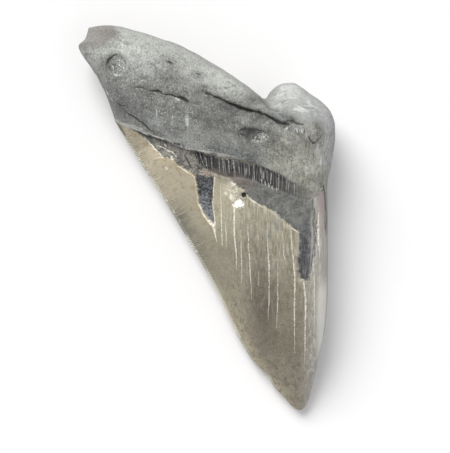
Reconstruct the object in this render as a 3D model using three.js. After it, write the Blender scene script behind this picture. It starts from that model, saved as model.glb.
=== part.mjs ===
// A fossil megalodon tooth: the left two thirds of a large tooth, broken lengthwise and worn smooth.
// Millimetres, +Z up. It lies on its flat outer face, with the domed inner face up, the root towards +Y
// and the crown's point towards -Y. The origin is the bottom centre of its bounding box.
import * as THREE from "three";

// Outline seen from above, as points on smooth curves
const tipArc = [[25, -58], [27.8, -61.3], [30, -62.2], [31.8, -60.9], [33, -58]];
const cuttingEdge = [
  [25, -58], [21.4, -54.4], [17.9, -48.8], [15.9, -47.8], [10.1, -38.9], [2.6, -23.1],
  [-5.7, -8.1], [-15.7, 8.5], [-24.8, 22.8], [-29.3, 30.5],
];
const brokenSide = [[33, -58], [35.4, -46.6], [37.6, -35.6], [38.5, -20.4], [38.3, -4], [38.2, 10.4]];
const gumLine = [
  [-29.3, 30.5], [-22.8, 27.3], [-13.6, 23.8], [-5.4, 20.6], [2.7, 18.9], [14.7, 16], [21, 12.7],
  [25.8, 8.8], [30.9, 4.6], [35.4, 7], [38.2, 10.4],
];
const rootEnd = [
  [-29.3, 30.5], [-32.2, 39.4], [-34.2, 43.9], [-39.9, 52.1], [-40.6, 54.4], [-38.6, 56.4], [-37.4, 60],
];
const rootTop = [
  [-37.4, 60], [-33.9, 60.6], [-29.9, 60.6], [-21.7, 58.6], [-13.6, 55.8], [-5.5, 52.3], [2.6, 47.6],
  [10.8, 42.2], [16.4, 38.2], [18.5, 37.4], [20.1, 39.5], [22.8, 41.7], [27.2, 42], [31.1, 39.8], [35.3, 37.2],
];
const rootSide = [[38.2, 10.4], [39.8, 19.7], [40.6, 26.2], [40.1, 30.8], [38.4, 34.2], [35.3, 37.2]];

// Heights above the table
const tipHeight = 4;
const crownHeight = 21.5;
const rootEndHeight = 17;
const rootHeight = 27.5;
const lipHeight = 1.2;
const cuttingEdgeHeight = 3.2;
const shoulderEdgeHeight = 5;
const brokenSideHeight = 8.5;
const rootRimHeight = 10;
const hollow = 1.3;

// Rounding and swelling, as shares of the width or length they act over
const ridgePlace = 0.82;
const crownSideRound = 0.07;
const rootSideRound = 0.2;
const undersideRound = 0.1;
const endRound = 0.12;
const topRound = 0.38;
const tipRound = 0.05;
const crownBevel = 0.45;
const shoulderBevel = 0.2;
const roundness = 2.3;

// Mesh size
const columnCount = 38;
const crownRows = 30;
const rootRows = 22;

// The three worn pads that it lies on: share across, share along (0 tip, 1 gum line, 2 root top), half sizes
const pads = [
  { across: 0.27, along: 1.36, halfWidth: 0.16, halfLength: 0.27 },
  { across: 0.84, along: 1.34, halfWidth: 0.13, halfLength: 0.27 },
  { across: 0.55, along: 0.19, halfWidth: 0.3, halfLength: 0.13 },
];
const padHeight = 1.9;

const clamp = THREE.MathUtils.clamp;
const lerp = THREE.MathUtils.lerp;
const smoothstep = THREE.MathUtils.smoothstep;

function smoothCurve(points) {
  const vectors = points.map(([x, y]) => new THREE.Vector3(x, y, 0));
  return new THREE.CatmullRomCurve3(vectors, false, "centripetal");
}

// Rises from 0 at the rim to 1 at the given distance inside it, as a quarter of a superellipse.
function rollUp(distance, reach) {
  if (reach <= 0) return distance > 0 ? 1 : 0;
  const gap = 1 - clamp(distance / reach, 0, 1);
  return (1 - gap ** roundness) ** (1 / roundness);
}

// A point of the surface patch that four boundary curves span.
function coonsPoint(patch, across, along) {
  const bottom = patch.bottom.getPointAt(across);
  const top = patch.top.getPointAt(across);
  const left = patch.left.getPointAt(along);
  const right = patch.right.getPointAt(along);
  const lowCorner = patch.bottom.getPointAt(0).lerp(patch.bottom.getPointAt(1), across);
  const highCorner = patch.top.getPointAt(0).lerp(patch.top.getPointAt(1), across);
  const ruledAcross = left.lerp(right, across);
  const ruledAlong = bottom.lerp(top, along);
  return ruledAcross.add(ruledAlong).sub(lowCorner.lerp(highCorner, along));
}

const gumCurve = smoothCurve(gumLine);
const crownPatch = {
  bottom: smoothCurve(tipArc),
  top: gumCurve,
  left: smoothCurve(cuttingEdge),
  right: smoothCurve(brokenSide),
};
const rootPatch = {
  bottom: gumCurve,
  top: smoothCurve(rootTop),
  left: smoothCurve(rootEnd),
  right: smoothCurve(rootSide),
};

// Height of the rim where the upper and the lower face meet, carried across the inside as a base.
function crownRim(across, along) {
  const left = lerp(cuttingEdgeHeight, shoulderEdgeHeight, along ** 2);
  const right = lerp(cuttingEdgeHeight, brokenSideHeight, 1 - (1 - along) ** 3);
  return lerp(left, right, across);
}

function rootRim(across, along) {
  const left = lerp(shoulderEdgeHeight, rootRimHeight, smoothstep(along, 0, 0.4));
  const right = lerp(brokenSideHeight, rootRimHeight, along);
  const swelling = 2 * along * Math.sin(Math.PI * across);
  return lerp(left, right, across) + swelling;
}

// The dome across the crown: steep at the cutting edge, highest at the ridge, lower at the broken side.
function crownDome(across) {
  if (across < ridgePlace) return 1 - (1 - across / ridgePlace) ** 1.8;
  return 1 - 0.2 * ((across - ridgePlace) / (1 - ridgePlace)) ** 2;
}

function crownCrest(along) {
  return lerp(tipHeight, crownHeight, 1 - (1 - along) ** 2.2);
}

function crownTop(across, along) {
  const rim = crownRim(across, along);
  const rounding = rollUp(1 - across, crownSideRound) * rollUp(along, tipRound);
  return rim + (crownCrest(along) - rim) * crownDome(across) * rounding;
}

// The root rises from a small overhanging lip at the gum line to its thickest part, then rounds off.
function rootTopFace(across, along) {
  const rim = rootRim(across, along);
  const gum = lerp(crownRim(across, 1), crownHeight, crownDome(across));
  const crest = rootEndHeight + (rootHeight - rootEndHeight) * Math.sin((Math.PI * across) / 1.5);
  const rise = 1 - (1 - clamp(along / 0.5, 0, 1)) ** 2;
  const lip = lipHeight * smoothstep(along, 0, 0.04) * smoothstep(across, 0, 0.2);
  const endReach = endRound * smoothstep(along, 0, 0.3);
  const sideReach = lerp(crownSideRound, rootSideRound, smoothstep(along, 0, 0.4));
  const rounding = rollUp(across, endReach) * rollUp(1 - across, sideReach) * rollUp(1 - along, topRound);
  return rim + (lerp(gum, crest, rise) + lip * (1 - rise) - rim) * rounding;
}

// The valley that runs down from the notch between the long lobe and the short one.
function notchValley(across, along) {
  const middle = lerp(0.85, 0.76, along);
  return 2.4 * Math.exp(-(((across - middle) / 0.035) ** 2)) * smoothstep(along, 0.45, 0.75);
}

// The lower face is a little hollow, and touches the table only at its three pads.
function hollowHeight(across, along) {
  let height = hollow;
  for (const pad of pads) {
    const far = ((across - pad.across) / pad.halfWidth) ** 2 + ((along - pad.along) / pad.halfLength) ** 2;
    height -= padHeight * Math.exp(-far);
  }
  return Math.max(height, 0);
}

function crownUnderside(across, along) {
  const bevelReach = lerp(crownBevel, shoulderBevel, along ** 2);
  const bevel = (1 - clamp(across / bevelReach, 0, 1)) ** 1.7;
  const side = 1 - rollUp(1 - across, crownSideRound);
  const tip = (1 - clamp(along / 0.12, 0, 1)) ** 1.7;
  const share = 1 - (1 - bevel) * (1 - side) * (1 - tip);
  return lerp(hollowHeight(across, along), crownRim(across, along), share);
}

function rootUnderside(across, along) {
  const bevel = (1 - clamp(across / shoulderBevel, 0, 1)) ** 1.7;
  const end = 1 - rollUp(across, endRound);
  const left = lerp(bevel, end, smoothstep(along, 0, 0.35));
  const sideReach = lerp(crownSideRound, undersideRound, smoothstep(along, 0, 0.4));
  const side = 1 - rollUp(1 - across, sideReach);
  const top = 1 - rollUp(1 - along, topRound);
  const share = 1 - (1 - left) * (1 - side) * (1 - top);
  return lerp(hollowHeight(across, 1 + along), rootRim(across, along), share);
}

// Shares across and along, packed closer together near both rims.
function packed(index, count, evenness) {
  const share = index / count;
  return lerp((1 - Math.cos(Math.PI * share)) / 2, share, evenness);
}

function surfacePoint(row, column, upper) {
  const across = packed(column, columnCount, 0.3);
  const onRim = row === 0 || row === crownRows + rootRows || column === 0 || column === columnCount;
  let point;
  let height;
  if (row <= crownRows) {
    const along = packed(row, crownRows, 0.75);
    point = coonsPoint(crownPatch, across, along);
    height = upper ? crownTop(across, along) : crownUnderside(across, along);
    if (onRim) height = crownRim(across, along);
  } else {
    const along = packed(row - crownRows, rootRows, 0.4);
    point = coonsPoint(rootPatch, across, along);
    height = upper ? rootTopFace(across, along) - notchValley(across, along) : rootUnderside(across, along);
    if (onRim) height = rootRim(across, along);
  }
  return point.setZ(height);
}

// Upper and lower faces are two grids that share their rim, so the skin is closed.
function toothGeometry() {
  const rowCount = crownRows + rootRows;
  const positions = [];
  const upperIndex = [];
  const lowerIndex = [];
  for (let row = 0; row <= rowCount; row += 1) {
    upperIndex.push([]);
    lowerIndex.push([]);
    for (let column = 0; column <= columnCount; column += 1) {
      const onRim = row === 0 || row === rowCount || column === 0 || column === columnCount;
      upperIndex[row].push(positions.length / 3);
      positions.push(...surfacePoint(row, column, true).toArray());
      if (onRim) {
        lowerIndex[row].push(upperIndex[row][column]);
      } else {
        lowerIndex[row].push(positions.length / 3);
        positions.push(...surfacePoint(row, column, false).toArray());
      }
    }
  }
  const triangles = [];
  for (let row = 0; row < rowCount; row += 1) {
    for (let column = 0; column < columnCount; column += 1) {
      const fromCorner = row < rowCount / 2 === column < columnCount / 2;
      triangles.push(...cellTriangles(upperIndex, row, column, fromCorner));
      triangles.push(...cellTriangles(lowerIndex, row, column, fromCorner).reverse());
    }
  }
  const geometry = new THREE.BufferGeometry();
  geometry.setAttribute("position", new THREE.Float32BufferAttribute(positions, 3));
  geometry.setIndex(triangles);
  return geometry;
}

// Two triangles of a cell, cut along the diagonal that starts at the nearest corner of the grid.
function cellTriangles(index, row, column, fromCorner) {
  const a = index[row][column];
  const b = index[row][column + 1];
  const c = index[row + 1][column + 1];
  const d = index[row + 1][column];
  return fromCorner ? [a, b, c, a, c, d] : [a, b, d, b, c, d];
}

// Moves the geometry so that the bottom centre of its bounding box is the origin.
function centred(geometry) {
  geometry.computeBoundingBox();
  const middle = geometry.boundingBox.getCenter(new THREE.Vector3());
  geometry.translate(-middle.x, -middle.y, -geometry.boundingBox.min.z);
  geometry.computeVertexNormals();
  return geometry;
}

const fossilEnamel = new THREE.MeshStandardMaterial({ color: 0x8f8a7a, roughness: 0.5, metalness: 0 });
const tooth = new THREE.Mesh(centred(toothGeometry()), fossilEnamel);
tooth.name = "tooth";

const group = new THREE.Group();
group.add(tooth);

export default group;
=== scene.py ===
import itertools
import math
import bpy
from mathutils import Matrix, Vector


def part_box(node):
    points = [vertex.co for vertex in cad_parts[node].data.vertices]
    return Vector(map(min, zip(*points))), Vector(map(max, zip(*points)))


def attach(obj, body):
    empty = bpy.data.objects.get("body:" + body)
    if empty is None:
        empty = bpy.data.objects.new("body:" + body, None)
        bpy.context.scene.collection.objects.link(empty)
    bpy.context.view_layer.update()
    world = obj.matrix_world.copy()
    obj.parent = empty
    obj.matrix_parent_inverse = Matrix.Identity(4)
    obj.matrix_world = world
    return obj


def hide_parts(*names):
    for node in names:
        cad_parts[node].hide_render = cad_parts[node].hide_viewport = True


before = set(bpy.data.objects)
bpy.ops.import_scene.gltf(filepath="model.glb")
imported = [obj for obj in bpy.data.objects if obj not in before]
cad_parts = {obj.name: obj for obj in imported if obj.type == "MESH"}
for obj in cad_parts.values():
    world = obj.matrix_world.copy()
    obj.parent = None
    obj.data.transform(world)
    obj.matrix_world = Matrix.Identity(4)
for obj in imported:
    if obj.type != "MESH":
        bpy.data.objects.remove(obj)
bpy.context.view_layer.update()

from types import SimpleNamespace

import bpy
import numpy as np

# A fossil megalodon tooth that lies on a pale table: grey root, dark band, olive enamel crown, one side
# broken off. Everything is drawn in millimetres as seen from above, X to the broken side and Y towards
# the root.
metre = 0.001
print("tooth: frame loaded")

toothShape = {
    "tipArc": [(25, -58), (27.8, -61.3), (30, -62.2), (31.8, -60.9), (33, -58)],
    "cuttingEdge": [(25, -58), (21.4, -54.4), (17.9, -48.8), (15.9, -47.8), (10.1, -38.9), (2.6, -23.1),
                    (-5.7, -8.1), (-15.7, 8.5), (-24.8, 22.8), (-29.3, 30.5)],
    "brokenSide": [(33, -58), (35.4, -46.6), (37.6, -35.6), (38.5, -20.4), (38.3, -4), (38.2, 10.4)],
    "gumLine": [(-29.3, 30.5), (-22.8, 27.3), (-13.6, 23.8), (-5.4, 20.6), (2.7, 18.9), (14.7, 16),
                (21, 12.7), (25.8, 8.8), (30.9, 4.6), (35.4, 7), (38.2, 10.4)],
    "rootEnd": [(-29.3, 30.5), (-32.2, 39.4), (-34.2, 43.9), (-39.9, 52.1), (-40.6, 54.4), (-38.6, 56.4),
                (-37.4, 60)],
    "rootTop": [(-37.4, 60), (-33.9, 60.6), (-29.9, 60.6), (-21.7, 58.6), (-13.6, 55.8), (-5.5, 52.3),
                (2.6, 47.6), (10.8, 42.2), (16.4, 38.2), (18.5, 37.4), (20.1, 39.5), (22.8, 41.7), (27.2, 42),
                (31.1, 39.8), (35.3, 37.2)],
    "rootSide": [(38.2, 10.4), (39.8, 19.7), (40.6, 26.2), (40.1, 30.8), (38.4, 34.2), (35.3, 37.2)],
    "tipHeight": 4, "crownHeight": 21.5, "rootEndHeight": 17, "rootHeight": 27.5,    # heights above the table
    "cuttingEdgeHeight": 3.2, "shoulderEdgeHeight": 5, "brokenSideHeight": 8.5, "rootRimHeight": 10,
    "lipHeight": 1.2, "lipWidth": 0.022, "hollow": 1.3, "padHeight": 1.9,
    "ridgePlace": 0.82, "crownSideRound": 0.07, "rootSideRound": 0.2, "undersideRound": 0.1,
    "endRound": 0.12, "topRound": 0.38, "tipRound": 0.05, "crownBevel": 0.45, "shoulderBevel": 0.2,
    "roundness": 2.3,
    "pads": [(0.27, 1.36, 0.16, 0.27), (0.84, 1.34, 0.13, 0.27), (0.55, 0.19, 0.3, 0.13)],  # where it touches
    "columns": 150, "crownRows": 400, "rootRows": 100,                                  # all three are even
    "serrationRows": 4, "serrationDepth": 0.5, "serrationReach": 1.4,
}

# Worn places on the upper face: closed outlines, how deep they are, and round hollows by centre and size
toothWear = {
    "band": [(-25.5, 28.9), (-22.8, 27.6), (-13.6, 24.3), (-8.1, 23), (-5, 21.3), (-0.6, 19.6), (5.1, 18.2),
             (9.5, 17.4), (14.6, 16.3), (18.5, 15.1), (22.2, 13.7), (25.6, 11.7), (29, 9.4), (32, 8.6),
             (33.6, 7.6), (33, 5.2), (30.8, 4.4), (28.5, 5.4), (25.8, 6.6), (22.3, 8.1), (19.2, 9.2),
             (14.8, 11), (10.4, 11.9), (6, 12.1), (2.9, 13), (-0.6, 14.8), (-3.4, 16.9), (-4.4, 20.3),
             (-8.1, 22), (-13.6, 23.6), (-22.5, 26.8)],
    "bare": [(6.8, 12.6), (8.6, 10.6), (10.4, 8.8), (12.4, 6.6), (16.2, 3.9), (21.1, 0.8), (24.7, -2.1),
             (27, -3.6), (28.8, -4.9), (28.6, -12), (28.3, -17), (28.9, -19.8), (31.4, -20.2),
             (33.2, -16.6), (34.4, -12.5), (34.8, -8), (34.9, 0), (34.9, 5), (33.6, 9), (25.8, 11),
             (17, 15), (10, 16)],
    "chip": [(-3.9, 13.2), (-3.3, 8.9), (-2.6, 4.1), (-0.9, 0.6), (1.3, -2.4), (2.2, -3), (2.3, 0),
             (1.7, 4.1), (2.1, 7.7), (2.4, 13), (1, 15.4), (-3, 15.6)],
    "worn": [(-22.4, 28.6), (-22, 26.6), (-16.9, 22.1), (-13.8, 18.7), (-11.1, 18), (-9.4, 16.1),
             (-4.9, 13.3), (-3.4, 13), (-1, 14), (2.9, 13.4), (2.9, 20.5), (-5.4, 22.6), (-13.6, 26)],
    "facet": [(-41.5, 53.9), (-35.7, 53), (-32.2, 52.8), (-27.8, 55.4), (-27.6, 58.5), (-29, 62), (-38, 62)],
    "brown": [(-3.8, 15.6), (-3.4, 12.9), (0, 12.2), (2.6, 12.4), (2.8, 15), (0, 15.6)],
    "bareDepth": 0.5, "chipDepth": 0.85, "wornDepth": 0.35, "bandDepth": 0.45,
    "crater": (-28.1, 47.0), "craterSize": 3.5, "craterDepth": 1.2,
    "foramen": (14.8, 24.6), "foramenSize": (4.4, 1.9), "foramenDepth": 1.0,
    "hole": (11.65, 6.8), "holeSize": 0.85, "holeDepth": 1.1,
    "whiteChip": (9.9, 4.1), "whiteChipSize": 1.25,
}

# Cracks as runs of (x, y, half width); the wide ones are cut into the shape as well
rootCracks = {
    "long": [(-2, 38.7, 0.03), (1.4, 37.1, 0.1), (3.4, 36.3, 0.18), (5, 35.6, 0.08), (7.4, 34.5, 0.26),
             (9, 33.8, 0.24), (10.9, 33.2, 0.3), (12.8, 32.6, 0.34), (15.3, 31.8, 0.14), (18.2, 30.9, 0.2),
             (21, 29.9, 0.5), (22.8, 29.1, 0.42), (24.2, 28.8, 0.34), (25.3, 28.4, 0.04)],
    "short": [(-22.7, 40.1, 0.03), (-19.8, 39.7, 0.13), (-18, 39.4, 0.04), (-16.6, 38.9, 0.16),
              (-14.6, 38.5, 0.26), (-12.9, 37.6, 0.08), (-11.2, 37.4, 0.12), (-9.2, 36.6, 0.14),
              (-7.6, 35.9, 0.34), (-6.2, 35.2, 0.28), (-5.4, 34.9, 0.03)],
    "left": [(-24.4, 32.2, 0.05), (-22.8, 31, 0.22), (-20.6, 29.8, 0.12), (-18.8, 28, 0.3),
             (-17.4, 26.8, 0.14), (-16, 26, 0.03)],
    "crease": [(17.2, 38.2, 0.3), (18.6, 35.2, 0.6), (22.5, 32, 0.6), (26, 29.4, 0.3)],
    "longDepth": 0.9, "shortDepth": 0.7, "leftDepth": 0.5, "creaseDepth": 0.6, "ledge": 0.55,
}
# Places painted lighter or darker than what is around them, some of them painted light and shade and
# some the tooth's own tone: (x, y, reach across, reach along, stops of light)
patches = [
    (-26, 49.5, 7, 4, 0.5), (-23, 42.5, 4, 4, 0.35),                     # around the crater
    (-30.3, 57.7, 3, 2.5, -0.35),                                        # worn corner of the root
    (3.5, 40, 8, 7, 0.3),                                                # swelling above the long crack
    (14.5, 35.2, 4, 3, -0.4), (20.5, 31, 3.5, 4, -0.5),                  # painted shade in the valley below the notch
    (11.5, 28, 6, 3, 0.4),                                               # above the oval pit
    (29.3, 28.8, 3.8, 4.4, 0.7), (24.5, 38.5, 4, 3, 0.25),               # crest and top of the short lobe
    (27.5, 16.5, 7, 5, 0.3),                                             # flank of the short lobe
    (-27, 33, 4, 5, -0.3), (-22.5, 24.5, 4, 4, -0.4),                    # shoulder, root and enamel
    (-15.4, 21.4, 3.6, 3.6, 0.45), (-1.5, 21.3, 4, 1.5, 0.45),           # worn strip, and painted light on the lip above it
    (-0.8, 12.9, 3, 2.8, 0.55),                                          # brown film
    (6.7, 13.4, 4, 1.4, -0.4), (29, 9.4, 4.5, 3.6, -0.4),                # lower rim and end of the band
    (6, 1, 6, 7, 0.3), (-8.5, -1.5, 3, 6, -0.5),                         # enamel on both sides of the chip
    (22, -12, 3, 6, 0.25), (19, -26, 5, 16, -0.4),                       # pale and dark parts of the middle
    (14, -38, 3, 7, 0.2),                                                # pale strip by the lower edge
]
# Runs of (x, y, half width) that are only painted on
darkMarks = [
    [(-29, 36.6, 0.05), (-27.2, 35.3, 0.2), (-25.2, 34.6, 0.05)],
    [(9.6, 25.9, 0.1), (12.2, 26.6, 0.45), (15.6, 26.4, 0.3), (17.6, 25.5, 0.1)],
    [(31.3, 24.8, 0.04), (32.2, 23.6, 0.17), (33.2, 22.2, 0.22), (34.4, 23.7, 0.13), (35.9, 25.4, 0.05)],
    # painted shadow on the upper left inside of the crater
    [(-31.3, 47.2, 0.05), (-30.7, 48.9, 0.24), (-29.2, 50, 0.18), (-27.6, 50.2, 0.05)],
    [(-25.1, 48.6, 0.05), (-24.6, 47, 0.12), (-25.1, 45.4, 0.05)],
    [(27.8, 27.2, 0.04), (28.2, 26, 0.14), (28, 24.6, 0.04)],
    [(29.9, 26.8, 0.04), (30.2, 25.6, 0.12), (30, 24.8, 0.04)],
    [(-7.3, 19.3, 0.12), (-5.3, 15.6, 0.22)],
    [(24.3, 29.8, 0.06), (25.8, 29.4, 0.22), (27.4, 28.6, 0.3), (29.4, 27.9, 0.2), (30.4, 27.6, 0.04)],
    [(-12.3, 48.1, 0.1), (-10.8, 47.6, 0.35), (-10.2, 47.4, 0.1)],
    [(-3, 44, 0.05), (-2, 43.7, 0.2), (-1.4, 43.4, 0.05)],
    [(36.4, 10.5, 0.05), (36.9, 5, 0.3), (37, 0, 0.25), (37.2, -6, 0.05)],
]
paleMarks = [
    [(2.2, -2.4, 0.5), (2.6, -4.8, 0.24), (3.3, -8, 0.05)],                             # tail of the chip
    [(4.4, 10.4, 0.04), (4.6, 0, 0.1), (4.9, -8.4, 0.12), (5, -9, 0.04)],               # veins in the enamel
    [(5.9, -1.5, 0.04), (6.1, -5, 0.1), (6.2, -9.6, 0.04)],
    [(8.6, 4.1, 0.24), (8.7, -6, 0.17), (9.3, -10.8, 0.16), (9.5, -16.5, 0.04)],
    [(10.7, -3.9, 0.04), (11, -13.4, 0.12), (11.1, -20.9, 0.04)],
    [(12.9, -2.4, 0.04), (13.2, -9, 0.13), (13.7, -17.3, 0.13), (14.3, -26, 0.04)],
    [(15.8, -3.6, 0.04), (16.2, -6.9, 0.06)],
    [(16.2, -17.3, 0.04), (16.2, -21.5, 0.08)],
    [(18.7, 0.6, 0.03), (19, -9, 0.1), (19.5, -14.9, 0.18), (19.6, -26, 0.14), (19.4, -32.5, 0.04)],
    [(21.7, -3.9, 0.04), (22, -6.6, 0.09)],
    [(22.2, -12.9, 0.04), (22.3, -26, 0.13), (22, -35, 0.04)],
    [(23.5, -4.5, 0.04), (24, -12, 0.08), (24.4, -13.6, 0.09)],
    [(26, -3.9, 0.1), (26.6, -10.5, 0.13), (27.4, -17.9, 0.18), (27.5, -30, 0.14), (27.8, -43, 0.04)],
    [(30.2, -20.3, 0.16), (30.9, -26, 0.22), (30.9, -36, 0.14), (31, -46.5, 0.05)],
    [(33.3, -14.6, 0.08), (33.6, -26, 0.11), (33.7, -41, 0.04)],
    [(34.8, 1.5, 0.1), (34.8, -7.5, 0.2), (35.3, -13, 0.04)],
    [(-20, 25.2, 0.1), (-16.9, 22.1, 0.14), (-13.8, 18.7, 0.1)],                        # broken enamel edges
    [(-16.5, 22.9, 0.05), (-13.7, 21.8, 0.1), (-12.2, 20.7, 0.16), (-10.8, 20.3, 0.14), (-9.6, 18.8, 0.1)],
    [(-17.4, 18.4, 0.04), (-15.5, 18.9, 0.1), (-13.6, 18.7, 0.06)],
    [(-9.4, 16.1, 0.06), (-7.4, 15, 0.14), (-4.9, 13.3, 0.16), (-3.9, 12.6, 0.1), (-3.4, 8.9, 0.1),
     (-2.7, 4.1, 0.12), (-1, 0.5, 0.16), (1.2, -2.2, 0.26), (2.2, -2.6, 0.4)],
    [(2.5, 12.6, 0.1), (2.2, 7.7, 0.12), (1.9, 4.1, 0.1), (2.4, 0, 0.14), (2.5, -2.5, 0.35)],
    [(12.8, 6.1, 0.05), (14.4, 4.9, 0.2), (16.4, 3.6, 0.1), (17.2, 2.9, 0.04)],
    [(19, 1.9, 0.02), (21, 0.6, 0.06), (23.5, -1.4, 0.02)],
    [(25.5, -3.3, 0.04), (26.9, -3.9, 0.12), (28.4, -5, 0.06), (28.6, -8, 0.02)],
    [(-3.6, 20, 0.06), (-2.8, 17, 0.04)],                                               # strokes in the band
    [(-2.4, 19.8, 0.07), (-0.8, 15, 0.05)],
    [(-0.5, 18.4, 0.07), (0, 15, 0.05)],
    [(1.2, 19, 0.07), (1.5, 14.8, 0.05)],
    [(3.8, 18.4, 0.08), (4, 13.8, 0.05)],
    [(5, 18.1, 0.08), (5.2, 13.5, 0.05)],
    [(6, 18.3, 0.12), (6.9, 17.5, 0.1), (7, 13.5, 0.06)],
    [(7.7, 17.4, 0.08), (9.2, 17.3, 0.08)],
    [(8.4, 17.4, 0.12), (8.7, 12.2, 0.06)],
    [(9.8, 17, 0.09), (10, 13.5, 0.05)],
    [(13.2, 16.3, 0.08), (13.2, 12.9, 0.05)],
    [(14.6, 16, 0.08), (14.7, 11.3, 0.05)],
    [(16.6, 15, 0.08), (16.9, 11.9, 0.05)],
    [(18.6, 14.1, 0.09), (18.7, 11.3, 0.06)],
    [(20.1, 13.8, 0.08), (19.8, 10.1, 0.06)],
    [(22.2, 12.8, 0.09), (22.1, 8.5, 0.06)],
    [(24.7, 11.4, 0.08), (24.6, 8.3, 0.05)],
    [(27.1, 9.9, 0.08), (27.2, 7.1, 0.05)],
    [(7.4, 10.8, 0.12), (8.8, 10, 0.3)],                                            # white flecks by the hole
    [(9.2, 9.3, 0.26), (9.5, 8, 0.16)],
    [(7.6, 7, 0.26), (8, 5.6, 0.6)],
    [(5.9, 7.5, 0.3), (6.3, 7, 0.2)],
    [(6.8, 8.6, 0.16), (7.5, 8.2, 0.24)],
    [(16.8, 11.6, 0.12), (17, 10.7, 0.08)],
    [(18, 10.8, 0.18), (18.3, 9.7, 0.1)],
    [(19.1, 10.2, 0.14), (19.2, 9.2, 0.1)],
    [(20.2, 9.4, 0.2), (20.3, 8.5, 0.12)],
    [(21.5, 8.8, 0.14), (21.6, 8, 0.08)],
    [(34.4, 21.2, 0.12), (34.6, 20.4, 0.16)],
    [(-29.4, 44.2, 0.05), (-28.2, 43.7, 0.12), (-26.8, 44, 0.05)],
    [(35.6, 18, 0.2), (35.6, 16.2, 0.35)],
    [(27, 27.4, 0.1), (26.9, 26.2, 0.05)],
    [(29, 27.6, 0.05), (29.4, 25.4, 0.12)],
    [(-11.2, 18.9, 0.35), (-10.9, 18.1, 0.25)],                                         # small chips
    [(-13.4, 23, 0.18), (-12.9, 22.2, 0.18)],
    [(-13, 15.5, 0.4), (-12.6, 15.3, 0.36)],
    [(-15.7, 9.7, 0.2), (-15.5, 9.3, 0.16)],
    [(-24.2, 21.4, 0.28), (-22.8, 21, 0.1)],
    [(-3.9, -10.7, 0.3), (-3.1, -10.9, 0.25)],
    [(-31.6, 40.2, 0.1), (-31, 38.6, 0.22)],
    [(-30.3, 37.6, 0.1), (-29.7, 36.6, 0.18)],
    [(-6, 30.8, 0.5), (-5.9, 28, 0.4)],                                                 # scrapes on the root
    [(-10.4, 31.2, 0.14), (-10.5, 30, 0.12)],
    [(-15.4, 33, 0.16), (-15.4, 30.6, 0.12)],
    [(-25.8, 55, 0.2), (-26, 53, 0.16)],
    [(-31.1, 51.9, 0.14), (-31.1, 50.6, 0.14)],
    [(27.4, 34.3, 0.2), (29.8, 33.2, 0.3)],
    [(-9.6, 36.4, 0.2), (-8.4, 35.7, 0.28)],
    [(-11, 2.2, 0.1), (-10.5, 1.7, 0.16), (-10.8, 1.2, 0.08)],
    [(-9.2, -0.6, 0.1), (-8.6, -1.2, 0.18), (-9, -1.8, 0.1)],
    [(-26.4, 29.9, 0.1), (-21.8, 28.1, 0.42), (-20.3, 27.5, 0.42)],
    [(24.9, 27.3, 0.28), (23.9, 26.3, 0.16)],
    [(27.4, 27.3, 0.22), (28, 25.8, 0.12)],
    [(-25.8, 23.8, 0.1), (-25.1, 23.2, 0.22), (-24.6, 22.6, 0.08)],                     # chips along the edge
    [(-22.1, 19.3, 0.1), (-21.5, 18.6, 0.2)],
    [(-20.7, 17, 0.2), (-20.2, 16.3, 0.08)],
    [(-19.5, 15, 0.08), (-19, 14.2, 0.18)],
    [(-13.3, 5.8, 0.1), (-12.7, 5, 0.2)],
]


def smoothStep(value, low, high):  # 0 below low, 1 above high, and an S curve between
    share = np.clip((value - low) / (high - low), 0, 1)
    return share * share * (3 - 2 * share)


def mixed(low, high, share):
    return low + (high - low) * share


def packed(count, evenness):  # shares from 0 to 1 that lie closer together near both ends
    share = np.arange(count + 1) / count
    return mixed((1 - np.cos(math.pi * share)) / 2, share, evenness)


# A smooth curve through the points: a cubic between each two, with slopes weighed by the roots of the gaps
# (centripetal Catmull-Rom), read at shares of its whole length.
def alongCurve(points, shares):
    points = np.array(points, float)
    padded = np.vstack([2 * points[0] - points[1], points, 2 * points[-1] - points[-2]])
    knots = np.sqrt(np.linalg.norm(np.diff(padded, axis=0), axis=1))[:, None]
    before, gap, after = knots[:-2], knots[1:-1], knots[2:]
    a, b, c, d = padded[:-3], padded[1:-2], padded[2:-1], padded[3:]
    slopeIn = gap * ((b - a) / before - (c - a) / (before + gap) + (c - b) / gap)
    slopeOut = gap * ((c - b) / gap - (d - b) / (gap + after) + (d - c) / after)
    t = np.linspace(0, 1, 41)[:-1, None, None]
    run = ((2 * t**3 - 3 * t**2 + 1) * b + (t**3 - 2 * t**2 + t) * slopeIn
           + (3 * t**2 - 2 * t**3) * c + (t**3 - t**2) * slopeOut)
    run = np.vstack([run.transpose(1, 0, 2).reshape(-1, 2), points[-1]])
    length = np.concatenate([[0], np.cumsum(np.linalg.norm(np.diff(run, axis=0), axis=1))])
    return np.stack([np.interp(shares * length[-1], length, run[:, k]) for k in (0, 1)], axis=-1)


# Coons patch: the two ruled surfaces between opposite boundary curves added together, less the flat one
# between the four corners.
def coonsPatch(bottom, top, left, right, across, along):
    low, high = alongCurve(bottom, across)[None], alongCurve(top, across)[None]
    start, end = alongCurve(left, along)[:, None], alongCurve(right, along)[:, None]
    q, v = across[None, :, None], along[:, None, None]
    corners = mixed(mixed(low[:, :1], low[:, -1:], q), mixed(high[:, :1], high[:, -1:], q), v)
    return mixed(start, end, q) + mixed(low, high, v) - corners


# Quarter of a superellipse: 0 at the rim, 1 at the given reach inside it.
def rollUp(distance, reach):
    n = toothShape["roundness"]
    gap = 1 - np.clip(distance / np.maximum(reach, 1e-9), 0, 1)
    return (1 - gap**n) ** (1 / n)


def crownRim(q, v):  # height of the rim, carried across the inside as a base
    s = toothShape
    left = mixed(s["cuttingEdgeHeight"], s["shoulderEdgeHeight"], v**2)
    right = mixed(s["cuttingEdgeHeight"], s["brokenSideHeight"], 1 - (1 - v) ** 3)
    return mixed(left, right, q)


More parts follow.
